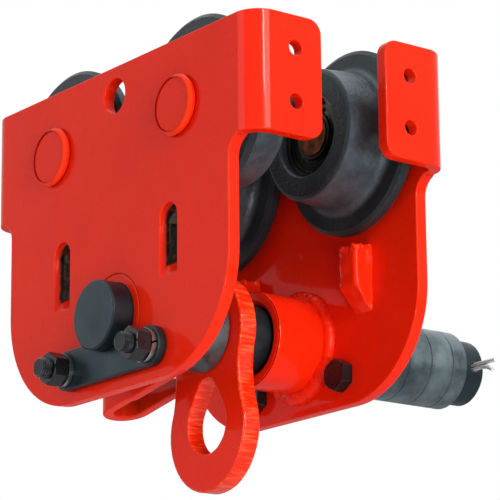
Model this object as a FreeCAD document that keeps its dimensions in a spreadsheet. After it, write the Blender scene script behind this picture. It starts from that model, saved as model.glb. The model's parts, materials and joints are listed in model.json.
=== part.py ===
import FreeCAD, Part
import math
import os

import Sketcher

# Push beam trolley: two bent side plates, four flanged wheels that run on the bottom flange of an
# I-beam, a load shaft across the plates and a suspension eye that swings on it.
# Frame: X along the beam, Y across it from the front plate to the rear plate, Z up. The origin is
# the middle of the beam flange, at the height where the wheel treads touch it. Millimetres.

SIZES = {
    # side plates
    "plate_length": 275,
    "plate_height": 200,
    "plate_thick": 8,
    "lower_length": 227,
    "lower_corner": 65,
    "frame_width": 148,
    "flange_depth": 50,
    "flange_drop": 72,
    "flange_corner": 9,
    "bend_inner": 8,
    "neck_round": 12,
    "lift_hole_radius": 11,
    "lift_hole_height": 181.4,
    "buffer_hole_radius": 4.5,
    "buffer_hole_inset": 31,
    "buffer_hole_top": 180,
    "buffer_hole_pitch": 32,
    # pressed pockets and the anti-tilt lugs behind them
    "slot_offset": 55.4,
    "slot_width": 16.6,
    "slot_bottom": 59.5,
    "slot_height": 42.3,
    "slot_depth": 5.5,
    "slot_core": 9.5,
    "slot_core_depth": 14,
    "rear_slot_shift": 7.6,
    "lug_width": 16.5,
    "lug_reach": 13,
    "lug_step": 6.5,
    "lug_height": 35,
    "lug_round": 2.5,
    # wheels
    "wheel_pitch": 130,
    "axle_height": 158.5,
    "wheel_gap": 4,
    "wheel_width": 40,
    "rim_radius": 57.5,
    "rim_width": 5,
    "rim_chamfer": 2.5,
    "tread_root": 5.5,
    "tread_radius": 42.5,
    "tread_end_radius": 40.5,
    "face_radius": 38,
    "shoulder_radius": 20.5,
    # ball bearing
    "bearing_radius": 26,
    "bearing_bore": 12.5,
    "bearing_width": 15,
    "bearing_inset": 7,
    "inner_ring_radius": 16,
    "outer_ring_radius": 22,
    "ball_radius": 4,
    "shield_thick": 1,
    # wheel axle
    "axle_head_radius": 18,
    "axle_head_thick": 4,
    "axle_shank_radius": 15,
    "axle_stub": 3.5,
    # snap rings
    "ring_thick": 1.6,
    "ring_clear": 0.2,
    "ring_bite": 1.2,
    "ring_gap": 5,
    "ring_ear": 4.5,
    # load shaft and its keeper
    "shaft_radius": 21,
    "shaft_height": 44,
    "shaft_front": 14.6,
    "shaft_rear": 129,
    "shaft_chamfer": 1,
    "shaft_end_chamfer": 2.5,
    "shaft_clear": 0.3,
    "notch_clear": 0.4,
    "keeper_radius": 12,
    "keeper_thick": 6,
    "bolt_offset": 42.2,
    "bolt_height": 18.7,
    # bush, sleeve and spacers on the load shaft
    "bush_wall": 4.9,
    "bush_clear": 0.3,
    "bush_edge": 0.5,
    "spacer_wall": 3.7,
    "spacer_edge": 0.6,
    "spacer_play": 0.1,
    "sleeve_wall": 8.7,
    "sleeve_length": 39,
    "sleeve_mouth": 3,
    "weld_leg": 6.5,
    "thin_spacer": 8,
    "thick_spacer": 18,
    "end_spacer": 12,
    # suspension eye
    "eye_thick": 12,
    "eye_clear": 0.5,
    "eye_side_gap": 0.3,
    "eye_top_radius": 35.5,
    "eye_waist": 32,
    "eye_bottom_radius": 37.7,
    "eye_drop": 60,
    "eye_hole_radius": 18.5,
    "eye_hole_drop": 55.5,
    "eye_hole_top_radius": 9,
    "eye_hole_top_drop": 38,
    # guard strap beside the eye
    "strap_thick": 7,
    "strap_width": 31,
    "strap_left": 92.8,
    "strap_right": 16,
    "strap_offset": 6,
    "strap_set": 2,
    "strap_set_offset": 57,
    "strap_top": 20.2,
    "strap_low": 40,
    "strap_tip": 26,
    # fasteners
    "bolt_radius": 6,
    "thread_depth": 0.7,
    "thread_pitch": 1.75,
    "hole_clear": 0.5,
    "hex_flats": 18,
    "head_thick": 7.5,
    "nut_thick": 10,
    "nut_clear": 0.05,
    "washer_thick": 3,
    "washer_radius": 10.2,
    "bolt_spare": 6,
    # split pin
    "pin_wire": 1.45,
    "pin_hole_radius": 3.5,
    "pin_inset": 9.5,
    "pin_leg": 41,
    "pin_splay": 3.6,
    "pin_lean": 2.2,
    "pin_eye": 5,
}

BALL_COUNT = 9
OUTER_SPACERS = 5
THREAD_TURNS = 7
SIDES = ("front", "rear")
ENDS = ("left", "right")


class Size:
    """A number together with the spreadsheet expression that gives it."""

    def __init__(self, number, text):
        self.number = float(number)
        self.text = text

    def __add__(self, other):
        other = size(other)
        return Size(self.number + other.number, f"({self.text} + {other.text})")

    def __sub__(self, other):
        other = size(other)
        return Size(self.number - other.number, f"({self.text} - {other.text})")

    def __mul__(self, other):
        other = size(other)
        return Size(self.number * other.number, f"({self.text} * {other.text})")

    def __truediv__(self, other):
        other = size(other)
        return Size(self.number / other.number, f"({self.text} / {other.text})")

    def __neg__(self):
        return Size(-self.number, f"(0 - {self.text})")

    def __radd__(self, other):
        return size(other) + self

    def __rsub__(self, other):
        return size(other) - self

    def __rmul__(self, other):
        return size(other) * self


def size(value):
    return value if isinstance(value, Size) else Size(value, f"{value:.9g}")


class Sizes:
    """Named sizes: s.plate_length is the cell with that alias."""

    def __getattr__(self, name):
        return Size(SIZES[name], f"dims.{name}")


s = Sizes()


def make_sheet(doc):
    sheet = doc.addObject("Spreadsheet::Sheet", "dims")
    for row, (name, number) in enumerate(SIZES.items(), 1):
        sheet.set(f"A{row}", name)
        sheet.set(f"B{row}", str(number))
        sheet.setAlias(f"B{row}", name)
    doc.recompute()
    return sheet


def bind(item, path, value):
    item.setExpression(path, size(value).text)


# ---- sketches -----------------------------------------------------------------------------------


def origin_plane(body, role):
    return next(item for item in body.Origin.OriginFeatures if item.Role == role)


def new_sketch(body, role, name, lift=None):
    """A sketch on one of the body's origin planes, moved along that plane's normal by lift."""
    sketch = body.newObject("Sketcher::SketchObject", name)
    sketch.AttachmentSupport = [(origin_plane(body, role), "")]
    sketch.MapMode = "FlatFace"
    if lift is not None:
        bind(sketch, "AttachmentOffset.Base.z", lift)
    return sketch


def hold(sketch, kind, geometry, point, value):
    """Hold one coordinate of a point at a value, measured from the sketch's origin."""
    value = size(value)
    index = sketch.addConstraint(Sketcher.Constraint(kind, -1, 1, geometry, point, value.number))
    name = f"c{index}"
    sketch.renameConstraint(index, name)
    sketch.setExpression(f"Constraints.{name}", value.text)


def add_polygon(sketch, points):
    first = sketch.GeometryCount
    corners = [FreeCAD.Vector(size(x).number, size(y).number, 0) for x, y in points]
    count = len(corners)
    for i in range(count):
        sketch.addGeometry(Part.LineSegment(corners[i], corners[(i + 1) % count]), False)
    for i in range(count):
        following = first + (i + 1) % count
        sketch.addConstraint(Sketcher.Constraint("Coincident", first + i, 2, following, 1))
    for i, (x, y) in enumerate(points):
        hold(sketch, "DistanceX", first + i, 1, x)
        hold(sketch, "DistanceY", first + i, 1, y)


def add_circle(sketch, x, y, radius):
    centre = FreeCAD.Vector(size(x).number, size(y).number, 0)
    radius = size(radius)
    geometry = sketch.addGeometry(Part.Circle(centre, FreeCAD.Vector(0, 0, 1), radius.number), False)
    hold(sketch, "DistanceX", geometry, 3, x)
    hold(sketch, "DistanceY", geometry, 3, y)
    index = sketch.addConstraint(Sketcher.Constraint("Radius", geometry, radius.number))
    sketch.renameConstraint(index, f"r{index}")
    sketch.setExpression(f"Constraints.r{index}", radius.text)


# ---- features -----------------------------------------------------------------------------------


def new_body(doc, label):
    body = doc.addObject("PartDesign::Body", label)
    body.Label = label
    return body


def pad(body, sketch, length, backwards=False):
    feature = body.newObject("PartDesign::Pad", "Pad")
    feature.Profile = sketch
    bind(feature, "Length", length)
    feature.Reversed = backwards
    return finish_feature(body, feature)


def cut_through(body, sketch):
    feature = body.newObject("PartDesign::Pocket", "Pocket")
    feature.Profile = sketch
    feature.Type = "ThroughAll"
    feature.Midplane = True
    return finish_feature(body, feature, cuts=True)


def cut_depth(body, sketch, depth, backwards=False):
    feature = body.newObject("PartDesign::Pocket", "Pocket")
    feature.Profile = sketch
    bind(feature, "Length", depth)
    feature.Reversed = backwards
    return finish_feature(body, feature, cuts=True)


def revolve(body, sketch, cuts=False):
    kind = "Groove" if cuts else "Revolution"
    feature = body.newObject(f"PartDesign::{kind}", kind)
    feature.Profile = sketch
    feature.ReferenceAxis = (sketch, ["V_Axis"])
    feature.Angle = 360
    return finish_feature(body, feature, cuts=cuts)


def finish_feature(body, feature, cuts=False):
    """Recompute, and make sure that a cut removed something."""
    before = body.Tip.Shape.Volume if cuts and body.Tip is not feature else None
    base = feature.BaseFeature.Shape.Volume if cuts and feature.BaseFeature else before
    body.Document.recompute()
    if cuts and feature.Shape.Volume >= base - 1e-6:
        raise RuntimeError(f"{body.Label}: {feature.Name} cuts nothing")
    return feature


def repeat_round(body, count):
    """Repeat the whole body round its own Y axis, as separate solids."""
    feature = body.newObject("PartDesign::PolarPattern", "Round")
    feature.TransformMode = "Whole shape"
    feature.Axis = (origin_plane(body, "Y_Axis"), [""])
    feature.Angle = 360
    feature.Occurrences = count
    body.Tip = feature
    return finish_feature(body, feature)


def mirror(body):
    """Repeat the whole body on the other side of its own YZ plane, as separate solids."""
    feature = body.newObject("PartDesign::Mirrored", "Mirrored")
    feature.TransformMode = "Whole shape"
    feature.MirrorPlane = (origin_plane(body, "YZ_Plane"), [""])
    body.Tip = feature
    return finish_feature(body, feature)


def edges_where(shape, test):
    return [f"Edge{i}" for i, edge in enumerate(shape.Edges, 1) if test(edge)]


def dress(body, kind, amount, test):
    """A PartDesign Fillet or Chamfer on the edges of the body that pass a test."""
    base = body.Tip
    names = edges_where(base.Shape, test)
    if not names:
        raise RuntimeError(f"{body.Label}: no edge for {kind}")
    feature = body.newObject(f"PartDesign::{kind}", kind)
    feature.Base = (base, names)
    bind(feature, "Radius" if kind == "Fillet" else "Size", amount)
    return finish_feature(body, feature)


def straight_at(x=None, y=None, z=None, along="y"):
    """A test for straight edges along one axis that pass through the given coordinates."""
    wanted = {"x": x, "y": y, "z": z}

    def test(edge):
        if edge.Curve.TypeId != "Part::GeomLine":
            return False
        low, high = edge.Vertexes[0].Point, edge.Vertexes[-1].Point
        step = high - low
        if abs(getattr(step, along)) < step.Length * 0.999:
            return False
        return all(
            value is None or abs(abs(getattr(low, axis)) - abs(size(value).number)) < 1e-3
            for axis, value in wanted.items()
        )

    return test


def circle_at(radius, y):
    """A test for full circles about the body's Y axis at one height."""
    radius, y = size(radius).number, size(y).number

    def test(edge):
        if edge.Curve.TypeId != "Part::GeomCircle":
            return False
        return abs(edge.Curve.Radius - radius) < 1e-3 and abs(edge.Curve.Center.y - y) < 1e-3

    return test


def turned(doc, label, *profiles):
    """A body of revolution about its own Y axis: profile points are (radius, height along Y)."""
    body = new_body(doc, label)
    sketch = new_sketch(body, "XY_Plane", "Profile")
    for profile in profiles:
        add_polygon(sketch, profile)
    revolve(body, sketch)
    return body


def facing(body, name, y=0):
    """A sketch that faces the front, at a distance y along the body's Y axis."""
    return new_sketch(body, "XZ_Plane", name, -size(y))


# ---- places -------------------------------------------------------------------------------------

# Each side is built in its own coordinates: x along the beam, y inwards from the plate's outer
# face, z up from the plate's bottom edge. The rear side is the front side turned half round.

running_line = s.axle_height - s.tread_radius
shaft_bore = s.shaft_radius + s.shaft_clear
bush_radius = shaft_bore + s.bush_wall
spacer_radius = shaft_bore + s.spacer_wall
sleeve_radius = shaft_bore + s.sleeve_wall
HALF_TURN = FreeCAD.Rotation(FreeCAD.Vector(0, 0, 1), 180)


def place(body, side="front", x=0, y=0, z=0):
    """Put a body at (x, y, z) of one side's coordinates."""
    turn = -1 if side == "rear" else 1
    if side == "rear":
        body.Placement = FreeCAD.Placement(FreeCAD.Vector(), HALF_TURN)
    bind(body, "Placement.Base.x", size(x) * turn)
    bind(body, "Placement.Base.y", (size(y) - s.frame_width / 2) * turn)
    bind(body, "Placement.Base.z", size(z) - running_line)
    return body


# ---- side plates --------------------------------------------------------------------------------


def side_plate(doc, side):
    body = new_body(doc, f"{side}_side_plate")
    half = s.plate_length / 2
    low_half = s.lower_length / 2
    thick = s.plate_thick
    flange_low = s.plate_height - s.flange_drop
    bend_outer = s.bend_inner + thick
    flat_half = half - bend_outer
    web_top = flange_low + s.flange_drop / 2
    neck_low = flange_low - s.neck_round

    channel = new_sketch(body, "XY_Plane", "Channel", flange_low)
    add_polygon(channel, [
        (-half, 0), (half, 0), (half, s.flange_depth), (half - thick, s.flange_depth),
        (half - thick, thick), (-half + thick, thick), (-half + thick, s.flange_depth),
        (-half, s.flange_depth),
    ])
    pad(body, channel, s.flange_drop)
    dress(body, "Fillet", bend_outer, straight_at(x=half, y=0, along="z"))
    dress(body, "Fillet", s.bend_inner, straight_at(x=half - thick, y=thick, along="z"))
    for height in (flange_low, s.plate_height):
        dress(body, "Fillet", s.flange_corner, straight_at(y=s.flange_depth, z=height, along="x"))

    web = facing(body, "Web")
    add_polygon(web, [
        (-low_half, 0), (low_half, 0), (low_half, neck_low), (flat_half, neck_low),
        (flat_half, web_top), (-flat_half, web_top), (-flat_half, neck_low),
        (-low_half, neck_low),
    ])
    pad(body, web, thick, backwards=True)
    dress(body, "Fillet", s.lower_corner, straight_at(x=low_half, z=0))
    necks = facing(body, "Necks")
    for end in (-1, 1):
        add_circle(necks, (low_half + s.neck_round) * end, neck_low, s.neck_round)
    cut_through(body, necks)

    holes = facing(body, "Holes")
    add_circle(holes, 0, s.lift_hole_height, s.lift_hole_radius)
    for end in (-1, 1):
        add_circle(holes, s.wheel_pitch / 2 * end, s.axle_height, s.axle_shank_radius)
        add_circle(holes, s.bolt_offset * end, s.bolt_height, s.bolt_radius + s.hole_clear)
    shaft_hole = bush_radius + s.bush_clear if side == "front" else shaft_bore
    add_circle(holes, 0, s.shaft_height, shaft_hole)
    cut_through(body, holes)

    buffers = new_sketch(body, "YZ_Plane", "BufferHoles")
    for row in (0, 1):
        height = s.buffer_hole_top - s.buffer_hole_pitch * row
        add_circle(buffers, s.buffer_hole_inset, height, s.buffer_hole_radius)
    cut_through(body, buffers)

    shift = size(0) if side == "front" else -s.rear_slot_shift
    for end in (-1, 1):
        add_pocket(body, s.slot_offset * end + shift)
        add_lug(body, s.slot_offset * end + shift)
    for end in (-1, 1):
        add_pocket_core(body, s.slot_offset * end + shift)
    return place(body, side)


def add_pocket(body, middle):
    """An upright pocket in the outer face, with a rounded top and a foot that slopes in."""
    half = s.slot_width / 2
    spring_line = s.slot_bottom + s.slot_height - half
    sketch = facing(body, "Pocket")
    add_polygon(sketch, [
        (middle - half, s.slot_bottom), (middle + half, s.slot_bottom),
        (middle + half, spring_line), (middle - half, spring_line),
    ])
    cut_depth(body, sketch, s.slot_depth)
    crown = facing(body, "PocketCrown")
    add_circle(crown, middle, spring_line, half)
    cut_depth(body, crown, s.slot_depth)
    foot = new_sketch(body, "YZ_Plane", "PocketFoot", middle - half)
    add_polygon(foot, [
        (0, s.slot_bottom), (s.slot_depth + 0.5, s.slot_bottom + s.slot_depth * 1.6),
        (s.slot_depth + 0.5, s.slot_bottom - 1), (0, s.slot_bottom - 1),
    ])
    pad(body, foot, s.slot_width)


def add_lug(body, middle):
    """The metal pressed out of the pocket: it stands in from the plate, in two steps."""
    inner = s.plate_thick
    foot = s.slot_bottom - 5.5
    top = s.slot_bottom + s.lug_height
    bend = foot + s.lug_height * 0.44
    for reach, width in ((s.lug_step, s.lug_width - 1.4), (s.lug_reach, s.lug_width)):
        near = inner + (reach - s.lug_step)
        sketch = new_sketch(body, "YZ_Plane", "Lug", middle - width / 2)
        add_polygon(sketch, [
            (near - 0.6, foot + (near - inner) * 1.2), (near, foot + (near - inner) * 1.2),
            (inner + reach * 0.3, foot + reach * 0.3), (inner + reach, bend - (s.lug_reach - reach) * 1.3),
            (inner + reach, top), (near - 0.6, top),
        ])
        pad(body, sketch, width)
    dress(body, "Fillet", s.lug_round, lug_edges(middle, s.lug_width / 2, inner + s.lug_reach))


def lug_edges(middle, half, y):
    """A test for the two upright edges at a lug's free face."""
    middle, half, y = (size(value).number for value in (middle, half, y))

    def test(edge):
        if edge.Curve.TypeId != "Part::GeomLine":
            return False
        low, high = edge.Vertexes[0].Point, edge.Vertexes[-1].Point
        upright = abs(low.x - high.x) + abs(low.y - high.y) < 1e-6
        return upright and abs(abs(low.x - middle) - half) < 1e-3 and abs(low.y - y) < 1e-3

    return test


def add_pocket_core(body, middle):
    """The narrow deep part of a pocket, which runs on into the lug."""
    half = s.slot_core / 2
    low = s.slot_bottom + s.lug_height * 0.35
    high = s.slot_bottom + s.lug_height * 0.9
    sketch = facing(body, "PocketCore")
    add_polygon(sketch, [
        (middle - half, low), (middle + half, low), (middle + half, high), (middle - half, high),
    ])
    cut_depth(body, sketch, s.slot_core_depth)


# ---- wheels, bearings and axles -----------------------------------------------------------------

# Distances along a wheel's axle are measured inwards from the plate's outer face.

wheel_back = s.plate_thick + s.wheel_gap
wheel_face = wheel_back + s.wheel_width
bearing_face = wheel_face - s.bearing_inset
bearing_back = bearing_face - s.bearing_width
ring_face = bearing_face + s.ring_clear
ring_plate = s.ring_thick - s.ring_clear


def wheel(doc, label):
    """A flanged cast wheel with a bearing seat and a snap ring groove."""
    rim_back = wheel_back + s.rim_chamfer
    rim_front = rim_back + s.rim_width
    flange_face = rim_front + s.rim_chamfer
    groove_radius = s.bearing_radius + s.ring_bite
    groove_top = ring_face + s.ring_thick
    root = s.tread_radius + 0.8
    body = turned(doc, label, [
        (s.shoulder_radius, wheel_back), (s.rim_radius - s.rim_chamfer, wheel_back),
        (s.rim_radius, rim_back), (s.rim_radius, rim_front),
        (s.rim_radius - s.rim_chamfer, flange_face - 0.6), (root, flange_face),
        (s.tread_end_radius, wheel_face - 2), (s.face_radius, wheel_face),
        (s.bearing_radius + 1, wheel_face), (s.bearing_radius, wheel_face - 1),
        (s.bearing_radius, groove_top), (groove_radius, groove_top), (groove_radius, ring_face),
        (s.bearing_radius, ring_face), (s.bearing_radius, bearing_back),
        (s.shoulder_radius, bearing_back),
    ])
    dress(body, "Fillet", s.tread_root, circle_at(root, flange_face))
    dress(body, "Fillet", size(1.2), circle_at(s.face_radius, wheel_face))
    return body


def bearing_outer_ring(doc, label):
    track = s.ball_radius * 0.45
    middle = bearing_back + s.bearing_width / 2
    lip = s.bearing_width / 2 - s.shield_thick - 0.5
    profile = [
        (s.bearing_radius - 0.8, bearing_back), (s.bearing_radius, bearing_back + 0.8),
        (s.bearing_radius, bearing_face - 0.8), (s.bearing_radius - 0.8, bearing_face),
        (s.outer_ring_radius, bearing_face), (s.outer_ring_radius, middle + s.ball_radius * 0.8),
        (s.outer_ring_radius + track, middle + s.ball_radius * 0.4),
        (s.outer_ring_radius + track, middle - s.ball_radius * 0.4),
        (s.outer_ring_radius, middle - s.ball_radius * 0.8),
        (s.outer_ring_radius, middle - lip), (s.outer_ring_radius, bearing_back),
    ]
    return turned(doc, label, profile)


def bearing_inner_ring(doc, label):
    track = s.ball_radius * 0.45
    middle = bearing_back + s.bearing_width / 2
    profile = [
        (s.bearing_bore, bearing_back), (s.inner_ring_radius, bearing_back),
        (s.inner_ring_radius, middle - s.ball_radius * 0.8),
        (s.inner_ring_radius - track, middle - s.ball_radius * 0.4),
        (s.inner_ring_radius - track, middle + s.ball_radius * 0.4),
        (s.inner_ring_radius, middle + s.ball_radius * 0.8),
        (s.inner_ring_radius, bearing_face), (s.bearing_bore + 0.6, bearing_face),
        (s.bearing_bore, bearing_face - 0.6),
    ]
    return turned(doc, label, profile)


def bearing_shield(doc, label):
    """A thin ring that closes the gap between the two races on the open side."""
    face = bearing_face - 0.6
    profile = [
        (s.inner_ring_radius + 0.35, face - s.shield_thick), (s.outer_ring_radius, face - s.shield_thick),
        (s.outer_ring_radius, face), (s.inner_ring_radius + 0.35, face),
    ]
    return turned(doc, label, profile)


def bearing_balls(doc, label):
    pitch = (s.inner_ring_radius + s.outer_ring_radius) / 2
    middle = bearing_back + s.bearing_width / 2
    ball = new_body(doc, label)
    sketch = new_sketch(ball, "XY_Plane", "HalfBall")
    radius = s.ball_radius
    centre = FreeCAD.Vector(pitch.number, middle.number, 0)
    arc_circle = Part.Circle(centre, FreeCAD.Vector(0, 0, 1), radius.number)
    arc = sketch.addGeometry(Part.ArcOfCircle(arc_circle, -math.pi / 2, math.pi / 2), False)
    low = centre - FreeCAD.Vector(0, radius.number, 0)
    high = centre + FreeCAD.Vector(0, radius.number, 0)
    chord = sketch.addGeometry(Part.LineSegment(high, low), False)
    sketch.addConstraint(Sketcher.Constraint("Coincident", arc, 2, chord, 1))
    sketch.addConstraint(Sketcher.Constraint("Coincident", chord, 2, arc, 1))
    sketch.addConstraint(Sketcher.Constraint("Vertical", chord))
    sketch.addConstraint(Sketcher.Constraint("PointOnObject", arc, 3, chord))
    hold(sketch, "DistanceX", arc, 3, pitch)
    hold(sketch, "DistanceY", arc, 3, middle)
    index = sketch.addConstraint(Sketcher.Constraint("Radius", arc, radius.number))
    sketch.renameConstraint(index, "ball")
    sketch.setExpression("Constraints.ball", radius.text)
    feature = ball.newObject("PartDesign::Revolution", "Ball")
    feature.Profile = sketch
    feature.ReferenceAxis = (sketch, ["Edge2"])
    feature.Angle = 360
    finish_feature(ball, feature)
    repeat_round(ball, BALL_COUNT)
    return ball


def axle(doc, label):
    """A shouldered pin: a round head outside the plate, a bearing seat and a snap ring groove."""
    end = bearing_face + s.axle_stub
    groove = s.bearing_bore - s.ring_bite
    profile = [
        (0, -s.axle_head_thick), (s.axle_head_radius - 0.8, -s.axle_head_thick),
        (s.axle_head_radius, -s.axle_head_thick + 0.8), (s.axle_head_radius, 0),
        (s.axle_shank_radius, 0), (s.axle_shank_radius, bearing_back), (s.bearing_bore, bearing_back),
        (s.bearing_bore, ring_face), (groove, ring_face), (groove, ring_face + s.ring_thick),
        (s.bearing_bore, ring_face + s.ring_thick), (s.bearing_bore, end - 0.8),
        (s.bearing_bore - 0.8, end), (0, end),
    ]
    return turned(doc, label, profile)


def snap_ring(doc, label, low, high, outward):
    """A flat open ring with two eared ends, each ear with a plier hole."""
    body = new_body(doc, label)
    face = ring_face + (s.ring_thick - ring_plate) / 2
    ring = facing(body, "Ring", face)
    add_circle(ring, 0, 0, high)
    add_circle(ring, 0, 0, low)
    pad(body, ring, ring_plate, backwards=True)
    half_gap = s.ring_gap / 2
    gap = facing(body, "Gap")
    add_polygon(gap, [(-half_gap, 0), (half_gap, 0), (half_gap, high + 1), (-half_gap, high + 1)])
    cut_through(body, gap)
    ear_low = high - 2 if outward else low - s.ring_ear
    ear_high = high + 2.2 if outward else low + 0.6
    ears = facing(body, "Ears", face)
    holes = facing(body, "PlierHoles")
    for hand in (-1, 1):
        near = half_gap * hand
        far = near + s.ring_ear * hand
        add_polygon(ears, [(near, ear_low), (far, ear_low), (far, ear_high), (near, ear_high)])
        add_circle(holes, near + s.ring_ear / 2 * hand, (ear_low + ear_high) / 2, 1.1)
    pad(body, ears, ring_plate, backwards=True)
    cut_through(body, holes)
    return body


def wheel_set(doc, side, end):
    hand = 1 if (end == "right") == (side == "front") else -1
    seat = {"side": side, "x": s.wheel_pitch / 2 * hand, "z": s.axle_height}
    corner = f"{side}_{end}"
    place(wheel(doc, f"{corner}_wheel"), **seat)
    place(axle(doc, f"{corner}_axle"), **seat)
    place(bearing_outer_ring(doc, f"{corner}_bearing_outer_ring"), **seat)
    place(bearing_inner_ring(doc, f"{corner}_bearing_inner_ring"), **seat)
    place(bearing_shield(doc, f"{corner}_bearing_shield"), **seat)
    place(bearing_balls(doc, f"{corner}_bearing_balls"), **seat)
    bore_ring = snap_ring(
        doc, f"{corner}_wheel_snap_ring",
        s.bearing_radius - 2.4, s.bearing_radius + s.ring_bite - s.ring_clear, False,
    )
    place(bore_ring, **seat)
    axle_ring = snap_ring(
        doc, f"{corner}_axle_snap_ring",
        s.bearing_bore - s.ring_bite + s.ring_clear, s.bearing_bore + 2, True,
    )
    place(axle_ring, **seat)


# ---- load shaft and what it carries --------------------------------------------------------------

shaft_end = s.frame_width + s.shaft_rear
eye_face = s.frame_width / 2 - s.eye_thick / 2
on_shaft = {"side": "front", "z": s.shaft_height}


def load_shaft(doc):
    body = turned(doc, "load_shaft", [
        (0, -s.shaft_front), (s.shaft_radius - s.shaft_chamfer, -s.shaft_front),
        (s.shaft_radius, -s.shaft_front + s.shaft_chamfer),
        (s.shaft_radius, shaft_end - s.shaft_end_chamfer),
        (s.shaft_radius - s.shaft_end_chamfer, shaft_end), (0, shaft_end),
    ])
    notch_top = s.bolt_height + s.keeper_radius + s.notch_clear - s.shaft_height
    notch = new_sketch(body, "YZ_Plane", "KeeperNotch")
    low = -s.shaft_radius - 1
    outer = -s.keeper_thick - s.notch_clear
    add_polygon(notch, [
        (outer, low), (s.notch_clear, low), (s.notch_clear, notch_top), (outer, notch_top),
    ])
    cut_through(body, notch)
    pin_hole = new_sketch(body, "YZ_Plane", "PinHole")
    add_circle(pin_hole, shaft_end - s.pin_inset, 0, s.pin_hole_radius)
    cut_through(body, pin_hole)
    return place(body, **on_shaft)


def keeper_plate(doc):
    """A plate with round ends whose top edge sits in the load shaft's notch."""
    body = new_body(doc, "shaft_keeper_plate")
    outline = facing(body, "Outline", -s.keeper_thick)
    radius = s.keeper_radius
    reach = s.bolt_offset + radius
    add_polygon(outline, [(-reach, -radius), (reach, -radius), (reach, radius), (-reach, radius)])
    pad(body, outline, s.keeper_thick, backwards=True)
    dress(body, "Fillet", radius * 0.995, straight_at(x=reach, z=radius))
    holes = facing(body, "Holes")
    for end in (-1, 1):
        add_circle(holes, s.bolt_offset * end, 0, s.bolt_radius + s.hole_clear)
    cut_through(body, holes)
    return place(body, z=s.bolt_height)


def hexagon(body, name, y):
    """A hexagon with two flats upright, at the bolt's place."""
    sketch = facing(body, name, y)
    flat = s.hex_flats / 2
    corner = s.hex_flats / math.sqrt(3)
    centre = s.bolt_offset
    add_polygon(sketch, [
        (centre, corner), (centre - flat, corner / 2), (centre - flat, -corner / 2),
        (centre, -corner), (centre + flat, -corner / 2), (centre + flat, corner / 2),
    ])
    return sketch


def crown(body, y, inwards):
    """Turn the corners off a hexagon's end face at y, on a cone about the bolt's axis."""
    corner = s.hex_flats / math.sqrt(3)
    flat = s.hex_flats / 2
    depth = (corner - flat) * 0.7
    turn = 1 if inwards else -1
    cone = new_sketch(body, "XY_Plane", "Crown")
    centre = s.bolt_offset
    add_polygon(cone, [
        (centre + flat * 0.98, y), (centre + corner + 1, y + depth * 1.4 * turn),
        (centre + corner + 1, y - turn), (centre + flat * 0.98, y - turn),
    ])
    axis = cone.addGeometry(Part.LineSegment(
        FreeCAD.Vector(centre.number, 0, 0), FreeCAD.Vector(centre.number, 10, 0)), True)
    hold(cone, "DistanceX", axis, 1, centre)
    hold(cone, "DistanceX", axis, 2, centre)
    feature = body.newObject("PartDesign::Groove", "Groove")
    feature.Profile = cone
    feature.ReferenceAxis = (cone, ["Axis0"])
    feature.Angle = 360
    finish_feature(body, feature, cuts=True)


def bolts(doc, side, seat):
    """A pair of hexagon bolts: heads inside the plate, threaded ends past the nuts outside."""
    body = new_body(doc, f"{side}_plate_bolts")
    tip = seat - s.washer_thick - s.nut_thick - s.bolt_spare
    inner = s.plate_thick
    head = hexagon(body, "Head", inner)
    pad(body, head, s.head_thick, backwards=True)
    crown(body, inner + s.head_thick, False)
    shank = facing(body, "Shank", tip)
    add_circle(shank, s.bolt_offset, 0, s.bolt_radius)
    pad(body, shank, inner - tip + 1, backwards=True)
    thread = new_sketch(body, "XY_Plane", "Thread")
    centre = s.bolt_offset
    outside = centre + s.bolt_radius + 1
    crest = centre + s.bolt_radius
    root = crest - s.thread_depth
    profile = [(outside, tip - 1), (root, tip - 1)]
    for turn in range(THREAD_TURNS):
        start = tip + s.thread_pitch * turn
        profile += [(root, start + 0.1), (crest - 0.05, start + s.thread_pitch / 2)]
    profile += [(root, tip + s.thread_pitch * THREAD_TURNS), (outside, tip + s.thread_pitch * THREAD_TURNS)]
    add_polygon(thread, profile)
    axis = thread.addGeometry(Part.LineSegment(
        FreeCAD.Vector(centre.number, 0, 0), FreeCAD.Vector(centre.number, 10, 0)), True)
    hold(thread, "DistanceX", axis, 1, centre)
    hold(thread, "DistanceX", axis, 2, centre)
    feature = body.newObject("PartDesign::Groove", "Groove")
    feature.Profile = thread
    feature.ReferenceAxis = (thread, ["Axis0"])
    feature.Angle = 360
    finish_feature(body, feature, cuts=True)
    mirror(body)
    return place(body, side, z=s.bolt_height)


def spring_washers(doc, side, seat):
    """A pair of split spring washers."""
    body = new_body(doc, f"{side}_spring_washers")
    ring = facing(body, "Ring", seat - s.washer_thick)
    add_circle(ring, s.bolt_offset, 0, s.washer_radius)
    add_circle(ring, s.bolt_offset, 0, s.bolt_radius + s.hole_clear / 2)
    pad(body, ring, s.washer_thick, backwards=True)
    split = new_sketch(body, "YZ_Plane", "Split", s.bolt_offset)
    high = s.washer_thick
    add_polygon(split, [
        (seat - high - 1, -1.6), (seat + 1, 0.6), (seat + 1, 2), (seat - high - 1, -0.2),
    ])
    cut_depth(body, split, s.washer_radius + 1, backwards=True)
    mirror(body)
    return place(body, side, z=s.bolt_height)


def nuts(doc, side, seat):
    body = new_body(doc, f"{side}_nuts")
    face = seat - s.washer_thick
    blank = hexagon(body, "Blank", face - s.nut_thick)
    pad(body, blank, s.nut_thick, backwards=True)
    crown(body, face - s.nut_thick, True)
    bore = facing(body, "Bore")
    add_circle(bore, s.bolt_offset, 0, s.bolt_radius + s.nut_clear)
    cut_through(body, bore)
    mirror(body)
    return place(body, side, z=s.bolt_height)


def fasteners(doc):
    for side in SIDES:
        seat = -s.keeper_thick if side == "front" else size(0)
        bolts(doc, side, seat)
        spring_washers(doc, side, seat)
        nuts(doc, side, seat)


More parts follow.
